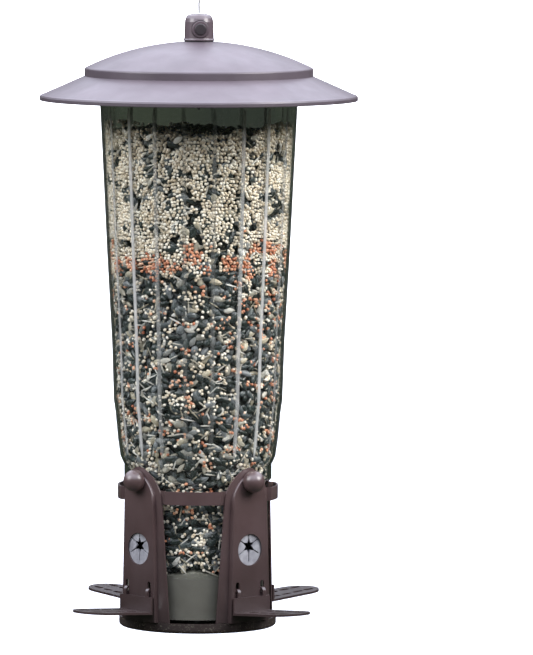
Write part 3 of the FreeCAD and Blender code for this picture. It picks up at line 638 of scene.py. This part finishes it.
def patchy(theta, z, scale, offset):
    """Smooth random value per place, for uneven layers."""
    radius = inner_radius(z)
    values = [noise.noise(Vector((r * math.cos(t) / scale + offset, r * math.sin(t) / scale, h / scale)))
              for t, h, r in zip(theta, z, radius)]
    return np.array(values)


def add_seeds(name, form, places, size, finish, spread, tilt, lie):
    """One piece of seeds: spread varies their size, tilt their lean off the wall, lie their turn along it."""
    theta, z, radius = places
    below = z < surface_height(theta) - 1.0
    theta, z, radius = theta[below], z[below], radius[below]
    count = len(theta)
    sizes = np.array(size)[None, :] * rng.normal(1, spread, (count, 3)).clip(0.7, 1.35)
    seeds = repeated(name, *form, to_places(theta, z, radius), seed_turns(theta, tilt, lie), sizes,
                     rng.uniform(0, 1, count))
    seeds.data.materials.append(finish)
    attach(seeds, "reservoir")


def clustered(count, low, high, grains, spread):
    """Places of small grains that gather in loose runs."""
    middles, heights = wall_places(count, low, high, 0, 1)[:2]
    theta = np.repeat(middles, grains) + rng.normal(0, spread / LOOSE_ARC_R, len(middles) * grains)
    z = np.repeat(heights, grains) + rng.normal(0, spread * 0.6, len(heights) * grains)
    keep = ~near_port(theta, z) & (z > low) & (z < high)
    theta, z = theta[keep], z[keep]
    return theta, z, inner_radius(z) - rng.uniform(1.3, 2.6, len(z))


def roof_height(x, y):
    """The baffle's roof under the seed."""
    return ROOF_TOP - ROOF_SLOPE * np.maximum(abs(x), abs(y))


def above_roof(places, clear):
    """The places (angle, height, centre distance) that stay clear of the roof."""
    theta, z, radius = places
    keep = z > roof_height(radius * np.cos(theta), radius * np.sin(theta)) + clear
    return theta[keep], z[keep], radius[keep]


def seeds():
    husk = seed_form(rings=5, segments=8, profile=husk_profile)
    ball = seed_form(rings=3, segments=6, profile=ball_profile)
    dark, straw = sunflower_shell(), dry_husk()
    white = grain("millet_white",
                  [(0.1, (0.50, 0.40, 0.28)), (0.5, (0.74, 0.64, 0.50)), (1.0, (0.90, 0.84, 0.74))])
    red = grain("millet_red",
                [(0.1, (0.34, 0.10, 0.05)), (0.55, (0.62, 0.27, 0.15)), (1.0, (0.82, 0.52, 0.36))])

    layers = (("foot", SEED_LOW, 108, 1700), ("neck", 108, 170, 1600), ("lower", 170, 216, 1450),
              ("middle", 216, 262, 1450), ("upper", 262, SEED_TOP - 8, 1700))
    for layer, low, high, count in layers:
        places = above_roof(wall_places(count, low, high, near=1.9, deep=6.0), clear=1.8)
        add_seeds(f"sunflower_{layer}", husk, places, SUNFLOWER, dark, spread=0.12, tilt=0.20, lie=0.75)

    places = above_roof(wall_places(1300, SEED_LOW, SEED_TOP + 8, near=0.7, deep=1.6), clear=1.0)
    add_seeds("straw", husk, places, STALK, straw, spread=0.2, tilt=0.06, lie=0.9)
    places = above_roof(wall_places(420, SEED_LOW, SEED_TOP, near=1.4, deep=2.2), clear=2.0)
    add_seeds("split_shells", husk, places, SPLIT_SHELL, straw, spread=0.12, tilt=0.1, lie=0.9)

    places = above_roof(clustered(720, SEED_LOW + 1, RED_LOW - 2, grains=5, spread=3.6), clear=1.2)
    add_seeds("millet_white_lower", ball, places, WHITE_MILLET, white, spread=0.1, tilt=0.5, lie=1.5)
    places = above_roof(clustered(330, SEED_LOW + 1, RED_LOW, grains=4, spread=2.8), clear=1.2)
    add_seeds("millet_red_lower", ball, places, RED_MILLET, red, spread=0.1, tilt=0.5, lie=1.5)
    packed_millet(ball, white, red)
    surface_seeds(ball, husk, white, dark)


def packed_millet(ball, white, red):
    """The upper layers, where small grain lies close packed with gaps of dark seed."""
    layers = (("near", 2.45, 1.25, 1.6, 0.24), ("deep", 2.6, 2.7, 3.6, 0.30))
    for layer, pitch, near, deep, cover in layers:
        every = packed_places(RED_LOW - 8, SEED_TOP + 9, pitch, near, deep)
        for part, low, high in (("low", 0, MILLET_SPLIT), ("high", MILLET_SPLIT, SEED_TOP + 30)):
            within = (every[1] >= low) & (every[1] < high)
            theta, z, radius = (values[within] for values in every)
            amount = (patchy(theta, z, 13, 11.0) + 0.7 * patchy(theta, z, 5, 31.0) + cover
                      - np.clip((262 - z) / 24, 0, 1) - np.clip((z - 338) / 55, 0, 1))
            redness = (patchy(theta, z, 12, 3.0) + 0.5 * patchy(theta, z, 3, 8.0) + 0.12
                       - abs(z - RED_MIDDLE) / 24)
            is_red = redness > 0
            for tint, chosen, finish in (("white", (amount > 0) & ~is_red, white), ("red", is_red, red)):
                if chosen.any():
                    places = (theta[chosen], z[chosen], radius[chosen])
                    add_seeds(f"millet_{tint}_{part}_{layer}", ball, places, PACKED_MILLET, finish,
                              spread=0.07, tilt=0.5, lie=1.5)


def seed_core_painted_shade():
    """A dark body behind the layers against the wall: a sheet of painted shade in place of the shadowed seed
    deep in the fill.
    """
    heights = [44.0, 50.0, 60.0, 100.0, 104.0, 114.0, 120.0, 160.0, 260.0, 334.0, 340.0]
    sides = [(float(inner_radius(z)) - CORE_DEPTH, z) for z in heights]
    rings = [(0.5, heights[0])] + sides + [(30.0, CORE_TOP - 1), (0.5, CORE_TOP)]
    core = lathe("seed_core_painted_shade", rings, steps=96)
    core.data.materials.append(seed_shade())
    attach(core, "reservoir")


def surface_seeds(ball, husk, white, dark):
    """Grain and husks lying over the top of the fill."""
    kinds = (("millet_surface", ball, 1500, PACKED_MILLET, 1.5, white),
             ("sunflower_surface", husk, 130, SUNFLOWER, 0.4, dark))
    for name, form, count, size, lie, finish in kinds:
        theta = rng.uniform(-math.pi, math.pi, count)
        radius = np.sqrt(rng.uniform(0.02, 1.0, count)) * (inner_radius(CORE_TOP) - 3.0)
        z = CORE_TOP + 1.0 + patchy(theta, radius * 3, 6, 30.0) * 2.5 + rng.uniform(0, 3.0, count)
        add_seeds(name, form, (theta, z, radius), size, finish, spread=0.1, tilt=0.5, lie=lie)


# ---------------------------------------------------------------- hanging cable

def hanging_cable():
    """The taut cable, as a curve in place of the CAD's."""
    curve = bpy.data.curves.new("hanging_cable", "CURVE")
    curve.dimensions = "3D"
    curve.bevel_depth = CABLE_R * MM
    curve.bevel_resolution = 6
    curve.use_fill_caps = True
    spline = curve.splines.new("NURBS")
    spline.points.add(len(CABLE_ROUTE) - 1)
    for point, place in zip(spline.points, CABLE_ROUTE):
        point.co = (*(c * MM for c in place), 1)
    spline.order_u = 3
    spline.use_endpoint_u = True
    cable = bpy.data.objects.new("hanging_cable", curve)
    bpy.context.scene.collection.objects.link(cable)
    curve.materials.append(cable_metal())
    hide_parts("hanger_cable")
    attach(cable, "reservoir")


# ---------------------------------------------------------------- studio

AZIMUTH = math.radians(48.7)
DISTANCE = 4.5
CAMERA_HEIGHT = 0.583
AIM_HEIGHT = 0.210
AIM_SIDE = 0.0479
ROLL = math.radians(0.2)
LENS = 353.4


def camera():
    """A long lens at the photograph's height and side, with the feeder left of the middle."""
    data = bpy.data.cameras.new("camera")
    data.lens = LENS
    data.sensor_width = 36
    data.clip_end = 100
    cam = bpy.data.objects.new("camera", data)
    bpy.context.scene.collection.objects.link(cam)
    place = Vector((math.sin(AZIMUTH) * DISTANCE, -math.cos(AZIMUTH) * DISTANCE, CAMERA_HEIGHT))
    right = Vector((math.cos(AZIMUTH), math.sin(AZIMUTH), 0))
    aim = right * AIM_SIDE + Vector((0, 0, AIM_HEIGHT))
    turn = (aim - place).to_track_quat("-Z", "Y").to_matrix().to_4x4()
    cam.matrix_world = Matrix.Translation(place) @ turn @ Matrix.Rotation(ROLL, 4, "Z")
    bpy.context.scene.camera = cam


def soft_box(name, angle, height, distance, size, power, color=(1, 1, 1)):
    """A square area light aimed at the feeder; angle is measured from the camera, to the right."""
    data = bpy.data.lights.new(name, "AREA")
    data.shape = "SQUARE"
    data.size = size
    data.energy = power
    data.color = color
    light = bpy.data.objects.new(name, data)
    bpy.context.scene.collection.objects.link(light)
    a = AZIMUTH + math.radians(angle)
    light.location = (math.sin(a) * distance, -math.cos(a) * distance, height)
    aim = Vector((0, 0, 0.2)) - light.location
    light.rotation_euler = aim.to_track_quat("-Z", "Y").to_euler()


def unseen_by_camera(obj):
    """A flag: it shows in mirror images and bounced light only, and throws no shadow."""
    obj.visible_camera = False
    obj.visible_shadow = False


def foliage(name, dark, light):
    """Blotched dark cloth."""
    mat, nodes, links, shader = material(name)
    blots = noise_node(nodes, links, 2.6, 4, object_coords(nodes))
    color = ramp(nodes, links, blots, [(0.35, dark), (0.62, light)])
    links.new(color, shader.inputs["Base Color"])
    shader.inputs["Roughness"].default_value = 0.9
    return mat


def circle(reach, z, steps=64):
    """Points round a level circle."""
    turns = [2 * math.pi * k / steps for k in range(steps)]
    return [(reach * math.cos(t), reach * math.sin(t), z) for t in turns]


def round_wall(name, reach, low, high):
    """An upright sheet all round the feeder."""
    bottom, top = circle(reach, low), circle(reach, high)
    steps = len(bottom)
    faces = [(k, (k + 1) % steps, steps + (k + 1) % steps, steps + k) for k in range(steps)]
    return mesh_object(name, bottom + top, faces)


def flags():
    """Dark green cloth round and under the feeder, as in a garden: it keeps the low mirror images dark."""
    reach, low, high = 2600, -1150, 1150
    wall = round_wall("garden_flag", reach, low, high)
    wall.data.materials.append(foliage("garden_cloth", (0.004, 0.007, 0.003), (0.026, 0.034, 0.016)))
    unseen_by_camera(wall)
    rim = circle(reach, low)
    ground = mesh_object("ground_flag", rim, [tuple(range(len(rim)))])
    ground.data.materials.append(foliage("ground_cloth", (0.012, 0.012, 0.006), (0.045, 0.045, 0.025)))
    unseen_by_camera(ground)


def backdrop():
    """A white paper wall far off, all round, seen by the camera only."""
    reach, low, high = 14000, -1300, 9000
    wall = round_wall("backdrop", reach, low, high)
    mat, nodes, links, shader = material("white_paper")
    paper = ramp(nodes, links, noise_node(nodes, links, 3, 2),
                 [(0.3, (0.98, 0.98, 0.98)), (0.7, (1.0, 1.0, 1.0))])
    links.new(paper, shader.inputs["Base Color"])
    links.new(paper, shader.inputs["Emission Color"])
    shader.inputs["Emission Strength"].default_value = 1.2
    wall.data.materials.append(mat)
    for ray in ("glossy", "diffuse", "transmission", "shadow", "volume_scatter"):
        setattr(wall, f"visible_{ray}", False)


def overcast_sky():
    """Pale cloud above, dark at the horizon and below it, as under trees."""
    world = bpy.data.worlds.new("overcast")
    bpy.context.scene.world = world
    world.use_nodes = True
    nodes, links = world.node_tree.nodes, world.node_tree.links
    height = split_axes(nodes, links, nodes.new("ShaderNodeTexCoord").outputs["Generated"])["Z"]
    sky = ramp(nodes, links, height, [(0.0, (0.01, 0.012, 0.01)), (0.2, (0.05, 0.055, 0.05)),
                                      (0.42, (0.46, 0.48, 0.56)), (0.68, (0.74, 0.77, 0.90)),
                                      (1.0, (0.84, 0.86, 1.0))])
    links.new(sky, nodes["Background"].inputs["Color"])
    nodes["Background"].inputs["Strength"].default_value = 3.6


def pale_floor():
    """A floor far below the hanging feeder."""
    reach, level = 90000, -1200
    corners = [(x * reach, y * reach, level) for x, y in ((-1, -1), (1, -1), (1, 1), (-1, 1))]
    floor = mesh_object("floor", corners, [(0, 1, 2, 3)])
    mat, nodes, links, shader = material("pale_floor")
    pale = ramp(nodes, links, noise_node(nodes, links, 3, 2),
                [(0.3, (0.90, 0.90, 0.90)), (0.7, (0.92, 0.92, 0.92))])
    links.new(pale, shader.inputs["Base Color"])
    shader.inputs["Roughness"].default_value = 0.9
    floor.data.materials.append(mat)


def studio():
    overcast_sky()
    soft_box("key", angle=66, height=1.5, distance=1.9, size=1.1, power=46, color=(1.0, 0.97, 0.95))
    soft_box("fill", angle=-65, height=1.3, distance=2.0, size=1.2, power=26)
    pale_floor()
    flags()
    backdrop()
    bpy.context.scene.view_settings.view_transform = "Standard"


camera()
studio()
finish_cad_nodes()
reservoir()
reservoir_ribs()
seed_core_painted_shade()
seeds()
hanging_cable()
